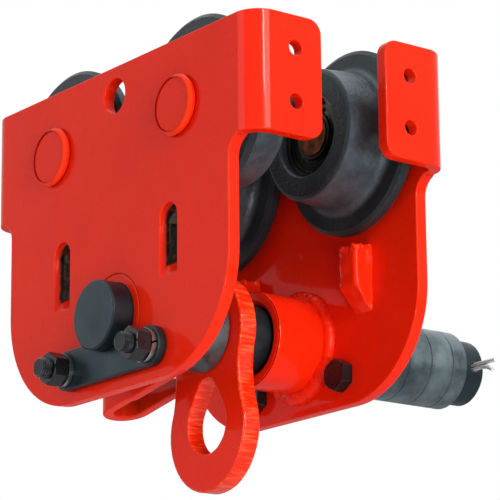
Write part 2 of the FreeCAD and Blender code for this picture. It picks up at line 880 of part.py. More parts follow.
def ring_profile(start, length):
    """Half section of a spacer ring with its outer edges broken and a little play behind it."""
    stop = start + length - s.spacer_play
    edge = s.spacer_edge
    return [
        (shaft_bore, start), (spacer_radius - edge, start), (spacer_radius, start + edge),
        (spacer_radius, stop - edge), (spacer_radius - edge, stop), (shaft_bore, stop),
    ]


def spacers(doc):
    """Rings that hold the frame at its width: some inside, and the spare ones outside."""
    inside = s.plate_thick
    room = eye_face - s.eye_side_gap - inside
    count = int((room.number - 2) // s.thick_spacer.number)
    thin = room - s.thick_spacer * count
    place(turned(doc, "inner_thin_spacer", ring_profile(inside, thin)), **on_shaft)
    start = inside + thin
    rings = [ring_profile(start + s.thick_spacer * i, s.thick_spacer) for i in range(count)]
    place(turned(doc, "inner_thick_spacers", *rings), **on_shaft)

    outside = s.frame_width
    place(turned(doc, "outer_thin_spacer", ring_profile(outside, s.thin_spacer)), **on_shaft)
    start = outside + s.thin_spacer
    rings = [ring_profile(start + s.thick_spacer * i, s.thick_spacer) for i in range(OUTER_SPACERS)]
    place(turned(doc, "outer_thick_spacers", *rings), **on_shaft)
    last = start + s.thick_spacer * OUTER_SPACERS
    place(turned(doc, "outer_end_spacer", ring_profile(last, s.end_spacer)), **on_shaft)


def bush_and_sleeve(doc):
    thick = s.plate_thick
    bush = turned(doc, "front_shaft_bush", [
        (shaft_bore, 0), (bush_radius - s.bush_edge, 0), (bush_radius, s.bush_edge),
        (bush_radius, thick), (shaft_bore, thick),
    ])
    place(bush, **on_shaft)
    mouth = thick + s.sleeve_length
    sleeve = turned(doc, "rear_shaft_sleeve", [
        (shaft_bore, thick), (sleeve_radius, thick), (sleeve_radius, mouth - 1),
        (sleeve_radius - 1, mouth), (shaft_bore + s.sleeve_mouth, mouth),
        (shaft_bore, mouth - s.sleeve_mouth),
    ])
    place(sleeve, side="rear", z=s.shaft_height)
    leg = s.weld_leg
    root = sleeve_radius
    weld = turned(doc, "sleeve_weld_bead", [
        (root, thick), (root + leg, thick), (root + leg * 0.92, thick + leg * 0.3),
        (root + leg * 0.65, thick + leg * 0.65), (root + leg * 0.3, thick + leg * 0.92),
        (root, thick + leg),
    ])
    place(weld, side="rear", z=s.shaft_height)


def split_pin(doc):
    """A folded wire through the load shaft's end, its two legs spread."""
    wire = s.pin_wire.number
    side = wire + 0.05
    radius = s.shaft_radius.number
    leg = s.pin_leg.number
    splay = s.pin_splay.number
    lean = s.pin_lean.number
    eye = s.pin_eye.number
    points = [
        (leg, splay - lean), ((leg + radius) / 2, side + (splay - lean - side) * 0.45),
        (radius, side), (0, side),
        (-radius, side), (-radius - eye * 0.9, eye * 0.8), (-radius - eye * 1.9, eye * 0.85),
        (-radius - eye * 2.6, 0),
    ]
    back = [(x, -z) for x, z in reversed(points[:-1])]
    back[-1] = (leg - 3, -splay - s.pin_lean.number / 2)
    path = Part.BSplineCurve()
    path.interpolate([FreeCAD.Vector(x, 0, z) for x, z in points + back])
    spine = Part.Wire(path.toShape())
    start = FreeCAD.Vector(leg, 0, splay - lean)
    ring = Part.Wire(Part.makeCircle(wire, start, path.tangent(path.FirstParameter)[0]))
    pin = doc.addObject("Part::Feature", "split_pin")
    pin.Label = "split_pin"
    pin.Shape = spine.makePipeShell([ring], True, False)
    place(pin, y=shaft_end - s.pin_inset, z=s.shaft_height)
    return pin


# ---- suspension eye -----------------------------------------------------------------------------


def add_arc(sketch, centre, radius, start, stop):
    """An arc between two points given as angles in radians, with its radius held."""
    circle = Part.Circle(FreeCAD.Vector(*centre, 0), FreeCAD.Vector(0, 0, 1), size(radius).number)
    geometry = sketch.addGeometry(Part.ArcOfCircle(circle, start, stop), False)
    index = sketch.addConstraint(Sketcher.Constraint("Radius", geometry, size(radius).number))
    sketch.renameConstraint(index, f"r{index}")
    sketch.setExpression(f"Constraints.r{index}", size(radius).text)
    return geometry


def suspension_eye(doc):
    """A flat plate: a round head on the load shaft, a waist and a round foot with a drop-shaped hole."""
    body = new_body(doc, "suspension_eye_plate")
    outline = facing(body, "Outline", -s.eye_thick / 2)
    head, foot, drop = s.eye_top_radius.number, s.eye_bottom_radius.number, s.eye_drop.number
    waist = s.eye_waist.number
    radius = waist_radius(head, foot, drop, waist)
    side_x = waist + radius
    side_z = -math.sqrt((head + radius) ** 2 - side_x ** 2)
    to_head = math.atan2(-side_z, side_x)
    to_foot = math.atan2(side_z + drop, side_x)
    top = add_arc(outline, (0, 0), s.eye_top_radius, -to_head, math.pi + to_head)
    left = add_arc(outline, (-side_x, side_z), radius, -to_foot, to_head)
    low = add_arc(outline, (0, -drop), s.eye_bottom_radius, math.pi - to_foot, 2 * math.pi + to_foot)
    right = add_arc(outline, (side_x, side_z), radius, math.pi - to_head, math.pi + to_foot)
    hold(outline, "DistanceX", top, 3, 0)
    hold(outline, "DistanceY", top, 3, 0)
    hold(outline, "DistanceX", low, 3, 0)
    hold(outline, "DistanceY", low, 3, -s.eye_drop)
    for first, end, second, start in (
        (top, 2, left, 2), (left, 1, low, 1), (low, 2, right, 2), (right, 1, top, 1),
    ):
        outline.addConstraint(Sketcher.Constraint("Tangent", first, end, second, start))
    pad(body, outline, s.eye_thick, backwards=True)

    bore = facing(body, "Bore")
    add_circle(bore, 0, 0, s.shaft_radius + s.eye_clear)
    cut_through(body, bore)

    hole = facing(body, "DropHole")
    wide, narrow = s.eye_hole_radius.number, s.eye_hole_top_radius.number
    low_z, high_z = -s.eye_hole_drop.number, -s.eye_hole_top_drop.number
    lean = math.asin((wide - narrow) / (high_z - low_z))
    belly = add_arc(hole, (0, low_z), s.eye_hole_radius, math.pi - lean, 2 * math.pi + lean)
    neck = add_arc(hole, (0, high_z), s.eye_hole_top_radius, lean, math.pi - lean)
    hold(hole, "DistanceX", belly, 3, 0)
    hold(hole, "DistanceY", belly, 3, -s.eye_hole_drop)
    hold(hole, "DistanceX", neck, 3, 0)
    hold(hole, "DistanceY", neck, 3, -s.eye_hole_top_drop)
    for hand in (1, -1):
        across, up = math.cos(lean) * hand, math.sin(lean)
        side = hole.addGeometry(Part.LineSegment(
            FreeCAD.Vector(wide * across, low_z + wide * up, 0),
            FreeCAD.Vector(narrow * across, high_z + narrow * up, 0)), False)
        hole.addConstraint(Sketcher.Constraint("Tangent", belly, 2 if hand > 0 else 1, side, 1))
        hole.addConstraint(Sketcher.Constraint("Tangent", neck, 1 if hand > 0 else 2, side, 2))
    cut_through(body, hole)
    return place(body, y=s.frame_width / 2, z=s.shaft_height)


def waist_radius(head, foot, drop, waist):
    """The radius of the side arcs that touch head and foot circles and leave the waist's width."""
    low, high = 1.0, 4000.0
    for _ in range(80):
        radius = (low + high) / 2
        over_head = math.sqrt(max((head + radius) ** 2 - (waist + radius) ** 2, 0))
        over_foot = math.sqrt(max((foot + radius) ** 2 - (waist + radius) ** 2, 0))
        if over_head + over_foot < drop:
            low = radius
        else:
            high = radius
    return radius


def guard_strap(doc):
    """A flat bar folded back on itself beside the eye, its lower edge rising towards its tip."""
    body = new_body(doc, "eye_guard_strap")
    thick, left, right = s.strap_thick, s.strap_left, s.strap_right
    back = s.strap_offset
    front = back - s.strap_width
    step = front + s.strap_set
    bend = s.strap_set_offset
    seat = s.eye_waist + s.eye_side_gap
    plan = new_sketch(body, "XY_Plane", "Plan", -s.strap_low)
    add_polygon(plan, [
        (-seat, back), (-left, back), (-left, front), (-bend - 2, front), (-bend + 2, step),
        (-right, step), (-right, step + thick), (-bend + 1, step + thick),
        (-bend - 3, front + thick), (-left + thick, front + thick), (-left + thick, back - thick),
        (-seat, back - thick),
    ])
    pad(body, plan, s.strap_low - s.strap_top)
    dress(body, "Fillet", s.strap_width * 0.495, corner_edges(-left, back, front))
    inner = (s.strap_width - thick * 2) * 0.495
    dress(body, "Fillet", inner, corner_edges(-left + thick, back - thick, front + thick))
    trim = facing(body, "LowerEdge")
    add_polygon(trim, [
        (-left - 1, -s.strap_low), (-right, -s.strap_tip), (-right + 1, -s.strap_tip),
        (-right + 1, -s.strap_low - 1), (-left - 1, -s.strap_low - 1),
    ])
    cut_through(body, trim)
    return place(body, y=s.frame_width / 2, z=s.shaft_height)


def corner_edges(x, *depths):
    """A test for upright edges at one x and any of the given y values."""
    wanted = [size(depth).number for depth in depths]

    def test(edge):
        if edge.Curve.TypeId != "Part::GeomLine":
            return False
        low, high = edge.Vertexes[0].Point, edge.Vertexes[-1].Point
        if abs(low.x - high.x) + abs(low.y - high.y) > 1e-6:
            return False
        return abs(low.x - size(x).number) < 1e-3 and any(abs(low.y - y) < 1e-3 for y in wanted)

    return test


def main():
    doc = FreeCAD.newDocument("beam_trolley")
    make_sheet(doc)
    for side in SIDES:
        side_plate(doc, side)
    for side in SIDES:
        for end in ENDS:
            wheel_set(doc, side, end)
    load_shaft(doc)
    keeper_plate(doc)
    fasteners(doc)
    bush_and_sleeve(doc)
    spacers(doc)
    split_pin(doc)
    suspension_eye(doc)
    guard_strap(doc)
    doc.recompute()
    export(doc)


def export(doc):
    """Check every object and write each body's shape to parts/LABEL.step."""
    faults = [item.Name for item in doc.Objects if {"Invalid", "Error"} & set(item.State)]
    if faults:
        raise RuntimeError(f"failed objects: {faults}")
    os.makedirs("parts", exist_ok=True)
    for body in doc.findObjects("PartDesign::Body") + [doc.getObject("split_pin")]:
        shape = body.Shape
        if shape.isNull() or not shape.isValid():
            raise RuntimeError(f"{body.Label}: bad shape")
        shape.exportStep(os.path.join("parts", f"{body.Label}.step"))
        print(body.Label, len(shape.Solids), round(shape.Volume))


main()
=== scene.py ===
import json
import math

import bmesh
import bpy
from mathutils import Matrix, Vector, noise


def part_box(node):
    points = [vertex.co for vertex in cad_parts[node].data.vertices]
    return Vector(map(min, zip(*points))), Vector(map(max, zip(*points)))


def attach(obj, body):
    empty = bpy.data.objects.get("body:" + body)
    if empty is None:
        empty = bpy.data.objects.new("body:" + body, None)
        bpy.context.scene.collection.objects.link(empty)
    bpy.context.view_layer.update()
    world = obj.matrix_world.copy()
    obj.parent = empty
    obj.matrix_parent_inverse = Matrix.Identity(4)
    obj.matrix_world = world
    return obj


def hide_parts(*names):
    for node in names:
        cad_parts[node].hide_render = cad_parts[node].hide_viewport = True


# The looks of a push beam trolley: finishes for every CAD node, and modelled pieces in place of the
# nodes whose paint, flame-cut edges, torn lugs or weld the CAD leaves out. Metres, in the CAD's frame.

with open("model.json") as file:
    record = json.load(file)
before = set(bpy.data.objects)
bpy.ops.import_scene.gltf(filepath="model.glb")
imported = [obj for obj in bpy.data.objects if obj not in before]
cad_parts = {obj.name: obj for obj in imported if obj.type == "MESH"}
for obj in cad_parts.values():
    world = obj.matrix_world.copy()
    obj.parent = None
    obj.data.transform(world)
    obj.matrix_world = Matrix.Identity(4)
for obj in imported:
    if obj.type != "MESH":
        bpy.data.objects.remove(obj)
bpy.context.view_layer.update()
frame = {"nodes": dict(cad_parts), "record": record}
NODES = frame["nodes"]
MOTION = frame["record"]["behaviour"]
BODY_OF = {node: body for body, nodes in MOTION["bodies"].items() for node in nodes}
JOINT_AT = {row["name"]: Vector(row["pos_m"]) for row in MOTION["joints"]}
SLOT_OF = {row["node"]: row["material_slot"] for row in frame["record"]["subparts"]}
AXLE_AT = JOINT_AT["front_right_wheel_spin"]
SHAFT_AT = JOINT_AT["eye_swing"]

# ---- camera: the photograph's viewing angle -------------------------------------------------------

EYE = Vector((1.2723, -0.9517, -0.4402))
LOOK_AT = Vector((0.005458, 0.024158, -0.016727))
ROLL = math.radians(-0.571)
LENS, SENSOR = 193.48, 36  # millimetres, as Blender takes them
NEAREST, FARTHEST = 0.05, 50


def add_camera():
    back = (EYE - LOOK_AT).normalized()
    right = Vector((0, 0, 1)).cross(back).normalized()
    up = back.cross(right)
    across = right * math.cos(ROLL) + up * math.sin(ROLL)
    upward = up * math.cos(ROLL) - right * math.sin(ROLL)
    data = bpy.data.cameras.new("camera")
    data.lens = LENS
    data.sensor_width = SENSOR
    data.clip_start = NEAREST
    data.clip_end = FARTHEST
    camera = bpy.data.objects.new("camera", data)
    bpy.context.scene.collection.objects.link(camera)
    camera.matrix_world = Matrix((
        (across.x, upward.x, back.x, EYE.x),
        (across.y, upward.y, back.y, EYE.y),
        (across.z, upward.z, back.z, EYE.z),
        (0, 0, 0, 1),
    ))
    bpy.context.scene.camera = camera


# ---- light and floor ------------------------------------------------------------------------------

WARM, WHITE, COOL = (1, 0.97, 0.9), (1, 1, 1), (0.9, 0.95, 1)
AIM = Vector((0, 0, -0.02))
# name, place, width and height, watts, colour
LAMPS = (
    ("key", (2.35, -0.1, 0.5), (0.9, 1.1), 36, WARM),
    ("glint", (2.0, -0.55, 0.8), (0.2, 0.25), 8, WHITE),
    ("front", (-0.9, -2.3, 0.3), (1.4, 1.4), 14.5, COOL),
    ("top", (0.1, 0.3, 2.4), (2.0, 2.0), 20, WHITE),
    ("low", (1.6, -0.45, -0.7), (0.8, 0.5), 16, WHITE),
)
AMBIENT = 0.25
FLOOR_HALF, FLOOR_HEIGHT = 12.0, -0.75
FLOOR_GREY, FLOOR_ROUGH, FLOOR_GLOW = 0.86, 0.8, 0.5


def add_lamp(name, place, size, power, colour):
    data = bpy.data.lights.new(name, "AREA")
    data.shape = "RECTANGLE"
    data.size, data.size_y = size
    data.energy = power
    data.color = colour
    light = bpy.data.objects.new(name, data)
    bpy.context.scene.collection.objects.link(light)
    light.location = place
    light.rotation_euler = (AIM - Vector(place)).to_track_quat("-Z", "Y").to_euler()


def add_world():
    """White to the camera and in reflections, and a weak cool fill light on the object."""
    world = bpy.data.worlds.new("studio")
    bpy.context.scene.world = world
    world.use_nodes = True
    nodes, links = world.node_tree.nodes, world.node_tree.links
    nodes.clear()
    backdrop = nodes.new("ShaderNodeBackground")
    backdrop.inputs["Color"].default_value = (*WHITE, 1)
    backdrop.inputs["Strength"].default_value = 1.0
    ambient = nodes.new("ShaderNodeBackground")
    ambient.inputs["Color"].default_value = (*COOL, 1)
    ambient.inputs["Strength"].default_value = AMBIENT
    rays = nodes.new("ShaderNodeLightPath")
    shown = rays.outputs["Is Camera Ray"]
    for kind in ("Is Transmission Ray", "Is Glossy Ray"):
        either = nodes.new("ShaderNodeMath")
        either.operation = "MAXIMUM"
        links.new(shown, either.inputs[0])
        links.new(rays.outputs[kind], either.inputs[1])
        shown = either.outputs[0]
    mix = nodes.new("ShaderNodeMixShader")
    links.new(shown, mix.inputs["Fac"])
    links.new(ambient.outputs[0], mix.inputs[1])
    links.new(backdrop.outputs[0], mix.inputs[2])
    out = nodes.new("ShaderNodeOutputWorld")
    links.new(mix.outputs[0], out.inputs["Surface"])


def floor_material():
    """A pale matt floor that fades into the backdrop and is clear from below."""
    material = bpy.data.materials.new("floor")
    material.use_nodes = True
    nodes, links = material.node_tree.nodes, material.node_tree.links
    shader = nodes["Principled BSDF"]
    shader.inputs["Base Color"].default_value = (FLOOR_GREY, FLOOR_GREY, FLOOR_GREY, 1)
    shader.inputs["Roughness"].default_value = FLOOR_ROUGH
    shader.inputs["Emission Color"].default_value = (*WHITE, 1)
    glow = nodes.new("ShaderNodeMath")
    glow.operation = "MULTIPLY"
    glow.inputs[1].default_value = FLOOR_GLOW
    links.new(nodes.new("ShaderNodeLightPath").outputs["Is Camera Ray"], glow.inputs[0])
    links.new(glow.outputs[0], shader.inputs["Emission Strength"])
    below = nodes.new("ShaderNodeMixShader")
    links.new(nodes.new("ShaderNodeNewGeometry").outputs["Backfacing"], below.inputs["Fac"])
    links.new(shader.outputs[0], below.inputs[1])
    links.new(nodes.new("ShaderNodeBsdfTransparent").outputs[0], below.inputs[2])
    links.new(below.outputs[0], nodes["Material Output"].inputs["Surface"])
    return material


def add_floor():
    mesh = bpy.data.meshes.new("floor")
    corners = [(x * FLOOR_HALF, y * FLOOR_HALF, FLOOR_HEIGHT)
               for x, y in ((-1, -1), (1, -1), (1, 1), (-1, 1))]
    mesh.from_pydata(corners, [], [(0, 1, 2, 3)])
    floor = bpy.data.objects.new("floor", mesh)
    bpy.context.scene.collection.objects.link(floor)
    mesh.materials.append(floor_material())


# ---- material building blocks ---------------------------------------------------------------------


class Shader:
    """A Principled material with short calls for the nodes that feed it."""

    def __init__(self, name):
        self.material = bpy.data.materials.new(name)
        self.material.use_nodes = True
        self.tree = self.material.node_tree
        self.surface = self.tree.nodes["Principled BSDF"]
        self.place = self.tree.nodes.new("ShaderNodeTexCoord").outputs["Object"]
        self.height = None

    def node(self, kind, **settings):
        item = self.tree.nodes.new(kind)
        for key, value in settings.items():
            setattr(item, key, value)
        return item

    def feed(self, socket, value):
        """Links another node's output, or sets a number or colour on the socket itself."""
        if isinstance(value, bpy.types.NodeSocket):
            self.tree.links.new(value, socket)
        elif socket.type == "RGBA" and len(value) == 3:
            socket.default_value = (*value, 1)
        else:
            socket.default_value = value

    def set(self, **values):
        """Feeds the surface's own sockets, with _ for each space in a socket's name."""
        for key, value in values.items():
            self.feed(self.surface.inputs[key.replace("_", " ")], value)
        return self

    def colour(self):
        """What feeds the base colour so far."""
        return self.surface.inputs["Base Color"].links[0].from_socket

    def stretched(self, scale):
        """The place on the object, scaled by axis, for streaks and grain."""
        mapping = self.node("ShaderNodeMapping")
        self.feed(mapping.inputs["Vector"], self.place)
        mapping.inputs["Scale"].default_value = scale
        return mapping.outputs["Vector"]

    def noise(self, scale, detail=3.0, rough=0.55, place=None, warp=0.0):
        """Soft noise of so many waves a metre."""
        item = self.node("ShaderNodeTexNoise")
        self.feed(item.inputs["Vector"], place or self.place)
        item.inputs["Scale"].default_value = scale
        item.inputs["Detail"].default_value = detail
        item.inputs["Roughness"].default_value = rough
        item.inputs["Distortion"].default_value = warp
        return item.outputs["Fac"]

    def ramp(self, value, low, high, start=0.0, end=1.0):
        """From start to end, smoothly, while the value goes from low to high."""
        item = self.node("ShaderNodeMapRange", interpolation_type="SMOOTHSTEP")
        self.feed(item.inputs["Value"], value)
        item.inputs["From Min"].default_value = low
        item.inputs["From Max"].default_value = high
        item.inputs["To Min"].default_value = start
        item.inputs["To Max"].default_value = end
        return item.outputs["Result"]

    def math(self, kind, *values):
        item = self.node("ShaderNodeMath", operation=kind)
        for socket, value in zip(item.inputs, values):
            self.feed(socket, value)
        return item.outputs["Value"]

    def mix(self, factor, first, second):
        """A colour between two colours."""
        item = self.node("ShaderNodeMix", data_type="RGBA")
        self.feed(item.inputs["Factor"], factor)
        self.feed(item.inputs[6], first)
        self.feed(item.inputs[7], second)
        return item.outputs[2]

    def blend(self, factor, first, second):
        """A number between two numbers."""
        item = self.node("ShaderNodeMix", data_type="FLOAT")
        self.feed(item.inputs["Factor"], factor)
        self.feed(item.inputs[2], first)
        self.feed(item.inputs[3], second)
        return item.outputs[0]

    def edges(self, width, low, high):
        """1 along outer edges and corners, 0 on flat faces."""
        bevel = self.node("ShaderNodeBevel", samples=6)
        bevel.inputs["Radius"].default_value = width
        flat = self.node("ShaderNodeNewGeometry").outputs["Normal"]
        product = self.node("ShaderNodeVectorMath", operation="DOT_PRODUCT")
        self.feed(product.inputs[0], bevel.outputs["Normal"])
        self.feed(product.inputs[1], flat)
        turned = self.math("SUBTRACT", 1.0, product.outputs["Value"])
        return self.ramp(turned, low, high)

    def creases(self, reach, low=0.35, high=0.95):
        """A mask for painted shade: 0 in creases and narrow gaps, 1 on open faces."""
        item = self.node("ShaderNodeAmbientOcclusion", samples=6)
        item.inputs["Distance"].default_value = reach
        return self.ramp(item.outputs["AO"], low, high)

    def along(self, axis):
        """The distance from the object's centre plane along one axis, without its sign."""
        split = self.node("ShaderNodeSeparateXYZ")
        self.feed(split.inputs[0], self.place)
        return self.math("ABSOLUTE", split.outputs[axis])

    def bump(self, height, distance, strength=1.0):
        """Adds fine relief on top of any already there."""
        item = self.node("ShaderNodeBump")
        item.inputs["Strength"].default_value = strength
        item.inputs["Distance"].default_value = distance
        self.feed(item.inputs["Height"], height)
        if self.height is not None:
            self.feed(item.inputs["Normal"], self.height)
        self.height = item.outputs["Normal"]
        self.feed(self.surface.inputs["Normal"], self.height)
        return self


# ---- paint ----------------------------------------------------------------------------------------

ORANGE = (0.9, 0.019, 0.003)
ORANGE_DEEP = (0.84, 0.015, 0.002)
# A painted highlight: the lighter orange that edges go towards.
EDGE_HIGHLIGHT_ORANGE = (1.0, 0.07, 0.008)
ORANGE_SPECK = (0.6, 0.012, 0.002)
# Painted shade that the orange goes to in creases.
ORANGE_CREASE_SHADE = (0.6, 0.01, 0.002)
# Painted shade in the strap's channel.
STRAP_CREASE_SHADE = (0.05, 0.016, 0.003)
# A painted highlight on the flame cut's drag lines.
CUT_RIDGE_HIGHLIGHT = (1.0, 0.13, 0.03)
CHIP = (0.16, 0.02, 0.01)
# Painted shade deep in the pockets: near-black mottled with brown.
POCKET_SHADE_BLACK, POCKET_SHADE_BROWN = (0.006, 0.004, 0.003), (0.07, 0.035, 0.012)
INNER_BROWN_DARK, INNER_BROWN_LIGHT = (0.05, 0.022, 0.01), (0.22, 0.07, 0.03)
WARM_GLOSS = (1, 0.78, 0.4)
# Distances from the trolley's middle plane: the axles are enamelled outside the first, and the pockets
# get painted shade nearer than the second.
PAINTED_FROM = 0.0655
POCKET_SHADE_BELOW = 0.0695


def enamel(s, body, coat=0.2):
    """The gloss of thick enamel over any base colour."""
    s.set(Base_Color=body, Roughness=s.ramp(s.noise(45, 4), 0.3, 0.75, 0.22, 0.34))
    s.set(Coat_Weight=coat, Coat_Roughness=0.05, Specular_IOR_Level=0.05, Specular_Tint=WARM_GLOSS)
    s.bump(s.noise(900, 2), 0.00003, 0.6)
    s.bump(s.noise(60, 3), 0.0003, 0.3)
    return s


def orange_colour(s, reach=0.002, shade=ORANGE_CREASE_SHADE, open_from=0.6):
    """Clouded orange, with a painted highlight on edges and painted shade in creases narrower than the
    reach.
    """
    body = s.mix(s.ramp(s.noise(9, 3), 0.35, 0.7), ORANGE, ORANGE_DEEP)
    body = s.mix(s.ramp(s.noise(500, 2), 0.6, 0.8, 0, 0.2), body, ORANGE_SPECK)
    # Painted highlight along edges.
    body = s.mix(s.math("MULTIPLY", s.edges(0.0016, 0.01, 0.12), 0.4), body, EDGE_HIGHLIGHT_ORANGE)
    # Painted shade in creases.
    return s.mix(s.creases(reach, 0.1, open_from), shade, body)


def paint(name, *creases):
    """Gloss enamel over hot-rolled steel: orange peel, a painted highlight on edges, painted shade in
    creases, small chips.
    """
    s = Shader(name)
    body = orange_colour(s, *creases)
    edge = s.edges(0.0009, 0.05, 0.2)
    spots = s.ramp(s.noise(170, 3), 0.6, 0.68)
    chips = s.math("MULTIPLY", s.math("MULTIPLY", edge, spots), 0.35)
    return enamel(s, s.mix(chips, body, CHIP))


def pocket_shade_paint(name):
    """Enamel at a pocket's mouth, and painted shade deeper in: near-black mottled with brown, with a
    ragged edge.
    """
    s = Shader(name)
    ragged = s.math("MULTIPLY_ADD", s.noise(260, 3), 0.003, s.along("Y"))
    # Painted shade where the pocket is deep.
    shade_painted = s.ramp(ragged, POCKET_SHADE_BELOW + 0.0008, POCKET_SHADE_BELOW + 0.0024, 1, 0)
    # The painted shade's mottling, from black to brown.
    scale = s.mix(s.ramp(s.noise(330, 4), 0.42, 0.68), POCKET_SHADE_BLACK, POCKET_SHADE_BROWN)
    enamel(s, s.mix(shade_painted, orange_colour(s), scale))
    return s.set(Roughness=s.blend(shade_painted, 0.32, 0.75))


def axle_paint(name):
    """Enamel on the axle's outer head, mottled dark brown inside the bearing."""
    s = Shader(name)
    inner_brown = s.mix(s.ramp(s.noise(120, 4), 0.35, 0.7), INNER_BROWN_DARK, INNER_BROWN_LIGHT)
    inner = s.ramp(s.along("Y"), PAINTED_FROM - 0.0005, PAINTED_FROM, 1, 0)
    return enamel(s, s.mix(inner, orange_colour(s), inner_brown))


def flame_cut_paint(name):
    """Enamel with the drag lines of a flame cut showing through on the cut edge, in relief and with a
    painted highlight on their ridges.
    """
    s = Shader(name)
    body = orange_colour(s)
    lines = s.noise(1.0, 3, 0.6, s.stretched((620, 70, 620)))
    # Painted highlight along the drag lines' ridges.
    light = s.math("MULTIPLY", s.ramp(lines, 0.44, 0.7), 0.75)
    enamel(s, s.mix(light, body, CUT_RIDGE_HIGHLIGHT), 0.5)
    return s.bump(lines, 0.0006, 0.8)


# ---- bare and blackened metal ---------------------------------------------------------------------

# The settings of dark_metal for each plain finish.
METALS = {
    "blackened_steel": {"dark": (0.014, 0.026, 0.031), "light": (0.026, 0.042, 0.049), "edge_wear_highlight": 0.9},
    "black_oxide": {
        "dark": (0.010, 0.010, 0.012), "light": (0.022, 0.022, 0.026), "rough": (0.2, 0.36),
        "metallic": 0.5, "grain": (400, 0.00004), "edge_wear_highlight": 0.45, "wear_highlight_colour": (0.3, 0.33, 0.36)},
    "thread_steel": {
        "dark": (0.007, 0.008, 0.009), "light": (0.022, 0.024, 0.027), "rough": (0.2, 0.34),
        "metallic": 0.8, "grain": (400, 0.00004), "edge_wear_highlight": 1.0, "wear_highlight_colour": (0.42, 0.46, 0.5)},
    "bearing_steel": {
        "dark": (0.02, 0.021, 0.018), "light": (0.06, 0.062, 0.052), "rough": (0.2, 0.35),
        "metallic": 0.9, "grain": (300, 0.00003), "edge_wear_highlight": 0.9, "wear_highlight_colour": (0.5, 0.5, 0.4)},
    "spring_steel": {
        "dark": (0.03, 0.03, 0.03), "light": (0.08, 0.08, 0.075), "rough": (0.3, 0.5),
        "metallic": 0.9},
    "zinc_plate": {
        "dark": (0.7, 0.73, 0.74), "light": (0.9, 0.92, 0.92), "rough": (0.18, 0.32),
        "metallic": 0.5, "grain": (300, 0.00004), "edge_wear_highlight": 0.5, "wear_highlight_colour": (0.95, 0.95, 0.95)},
    "washer_zinc": {
        "dark": (0.16, 0.17, 0.175), "light": (0.3, 0.315, 0.32), "rough": (0.16, 0.3),
        "metallic": 0.85, "grain": (300, 0.00004), "edge_wear_highlight": 1.0, "wear_highlight_colour": (0.95, 0.95, 0.95)},
}
# The turned spacers and the cast wheels add to dark_metal. A wheel's tread is lighter, partly from wear
# and partly as a painted highlight, and fades in and out between two pairs of radii.
SPACER_DARK, SPACER_LIGHT = (0.04, 0.06, 0.068), (0.17, 0.225, 0.245)
SPACER_TINT = (0.085, 0.075, 0.06)
IRON_DARK, IRON_LIGHT, IRON_WEAR_HIGHLIGHT = (0.012, 0.014, 0.017), (0.026, 0.031, 0.036), (0.25, 0.27, 0.3)
IRON_METALLIC, TREAD_METALLIC = 0.1, 0.35
TREAD_DARK, TREAD_LIGHT = (0.046, 0.056, 0.065), (0.082, 0.1, 0.115)
TREAD_INNER, TREAD_OUTER = (0.0393, 0.0405), (0.0445, 0.0475)
IRON_GLOSS = (0.85, 0.95, 1)


def dark_metal(name, dark, light, rough=(0.3, 0.5), metallic=0.75, grain=(300, 0.00008), edge_wear_highlight=0.5,
               wear_highlight_colour=(0.30, 0.33, 0.35)):
    """Blackened or oiled steel with mottling, painted shade in creases, and edges lightened by wear and
    by a painted highlight.

    rough is a range, grain is a noise scale with its relief, and the last two give how far edges are
    lightened, partly as wear and partly as a painted highlight, and towards which colour."""
    s = Shader(name)
    cloud = s.ramp(s.noise(35, 5, 0.6), 0.3, 0.72)
    body = s.mix(cloud, dark, light)
    spots = s.ramp(s.noise(160, 3), 0.4, 0.65, 0.2, 1)
    # Edges lighten partly as wear and partly as a painted highlight.
    wear_and_highlight = s.math("MULTIPLY", s.math("MULTIPLY", s.edges(0.0007, 0.02, 0.2), spots), edge_wear_highlight)
    body = s.mix(wear_and_highlight, body, wear_highlight_colour)
    # Painted shade: creases go to a quarter of the dark colour.
    body = s.mix(s.creases(0.002), tuple(c * 0.25 for c in dark), body)
    s.set(Base_Color=body, Metallic=metallic)
    s.set(Roughness=s.ramp(s.noise(60, 4, 0.65), 0.3, 0.7, *rough))
    s.bump(s.noise(grain[0], 3), grain[1], 0.7)
    return s


def turned_steel(name):
    """Loose spacer rings: turned, oiled and handled, so streaks run round and patches are lighter."""
    s = dark_metal(name, SPACER_DARK, SPACER_LIGHT, (0.24, 0.46), 0.7, (420, 0.00006))
    tint = s.ramp(s.noise(30, 4, 0.6, warp=1.5), 0.5, 0.72, 0, 0.55)
    s.set(Base_Color=s.mix(tint, s.colour(), SPACER_TINT))
    return s.bump(s.noise(1.0, 2, 0.5, s.stretched((30, 2600, 30))), 0.00004, 0.6)


def wheel_radius(s):
    """The distance from a wheel's own axle, at rest."""
    split = s.node("ShaderNodeSeparateXYZ")
    s.feed(split.inputs[0], s.place)
    across = s.math("SUBTRACT", s.along("X"), AXLE_AT.x)
    up = s.math("SUBTRACT", split.outputs["Z"], AXLE_AT.z)
    square = s.math("ADD", s.math("MULTIPLY", across, across), s.math("MULTIPLY", up, up))
    return s.math("SQRT", square)


